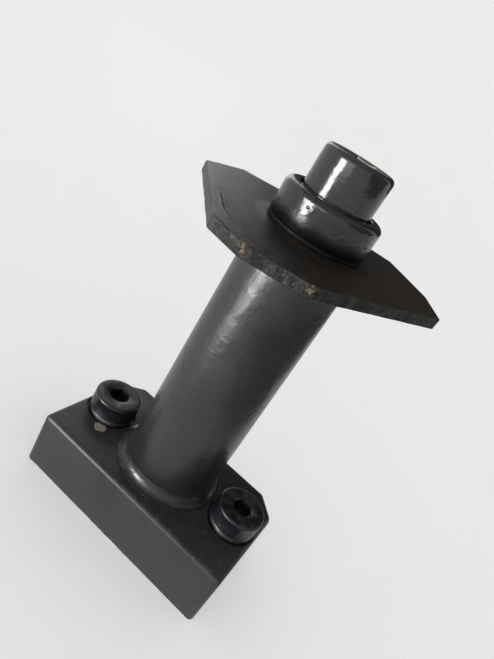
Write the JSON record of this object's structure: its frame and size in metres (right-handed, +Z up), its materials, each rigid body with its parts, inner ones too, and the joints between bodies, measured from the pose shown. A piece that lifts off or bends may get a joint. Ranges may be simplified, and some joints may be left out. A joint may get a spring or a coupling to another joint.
{
  "type": "swivelling tool post",
  "caption": "Block base with a round column that swings and locks, carrying a lobed tool plate clamped by a collar and a central cap screw.",
  "frame": {"origin": "mouth of the table thread, in the middle of the underside of the base", "axes": "+Z up the column, +X along the base's long side, -Y to the front, where one lobe of the tool plate points"},
  "size_m": [0.0633, 0.0596, 0.1069],
  "materials": {
    "painted_steel": "gloss grey enamel over turned steel",
    "scaled_steel": "thin dark paint over flame-cut plate, chipped at the corners",
    "black_steel": "black oxide, oiled",
    "bright_steel": "turned or ground",
    "spring_steel": "zinc plated",
    "bronze": "machined bearing bronze",
    "seal_rubber": "matt black nitrile"
  },
  "bodies": {
    "base": {"base_block": "painted_steel", "sole_plate": "bright_steel", "sole_dowels": "bright_steel", "friction_ring": "bronze", "column_seal": "seal_rubber"},
    "column": {"column_tube": "painted_steel", "foot_flange": "bright_steel", "foot_ring": "painted_steel", "head_plug": "bright_steel", "spring_seat": "bright_steel", "release_spring": "spring_steel"},
    "left_washer": {"spring_washer_left": "spring_steel"},
    "left_screw": {"base_screw_left": "black_steel"},
    "right_washer": {"spring_washer_right": "spring_steel"},
    "right_screw": {"base_screw_right": "black_steel"},
    "plate": {"tool_plate": "scaled_steel", "plate_bush": "bronze", "thrust_washer": "black_steel"},
    "collar": {"clamp_collar": "painted_steel", "collar_pin": "bright_steel", "head_washer": "bright_steel"},
    "clamp_screw": {"clamp_screw": "painted_steel"}
  },
  "joints": [
    {"name": "column_swing", "type": "hinge", "parent": "base", "child": "column", "pos_m": [0, 0, 0.0135], "axis": [0, 0, 1], "continuous": true},
    {"name": "left_screw_rise", "type": "slide", "parent": "base", "child": "left_washer", "axis": [0, 0, 1], "range_m": [0, 0.00375]},
    {"name": "left_screw_turn", "type": "hinge", "parent": "left_washer", "child": "left_screw", "pos_m": [-0.0225, 0, 0.009], "axis": [0, 0, 1], "range_deg": [0, 1080]},
    {"name": "right_screw_rise", "type": "slide", "parent": "base", "child": "right_washer", "axis": [0, 0, 1], "range_m": [0, 0.00375]},
    {"name": "right_screw_turn", "type": "hinge", "parent": "right_washer", "child": "right_screw", "pos_m": [0.0225, 0, 0.009], "axis": [0, 0, 1], "range_deg": [0, 1080]},
    {"name": "plate_index", "type": "hinge", "parent": "column", "child": "plate", "pos_m": [0, 0, 0.0875], "axis": [0, 0, 1], "continuous": true},
    {"name": "collar_rise", "type": "slide", "parent": "column", "child": "collar", "axis": [0, 0, 1], "range_m": [0, 0.00225], "deforming": ["release_spring"]},
    {"name": "clamp_screw_turn", "type": "hinge", "parent": "collar", "child": "clamp_screw", "pos_m": [0, 0, 0.07], "axis": [0, 0, 1], "range_deg": [0, 540]}
  ],
  "couplings": [
    {"joint": "left_screw_rise", "follows": "left_screw_turn", "m_per_rad": 0.00019894},
    {"joint": "right_screw_rise", "follows": "right_screw_turn", "m_per_rad": 0.00019894},
    {"joint": "collar_rise", "follows": "clamp_screw_turn", "m_per_rad": 0.00023873}
  ]
}
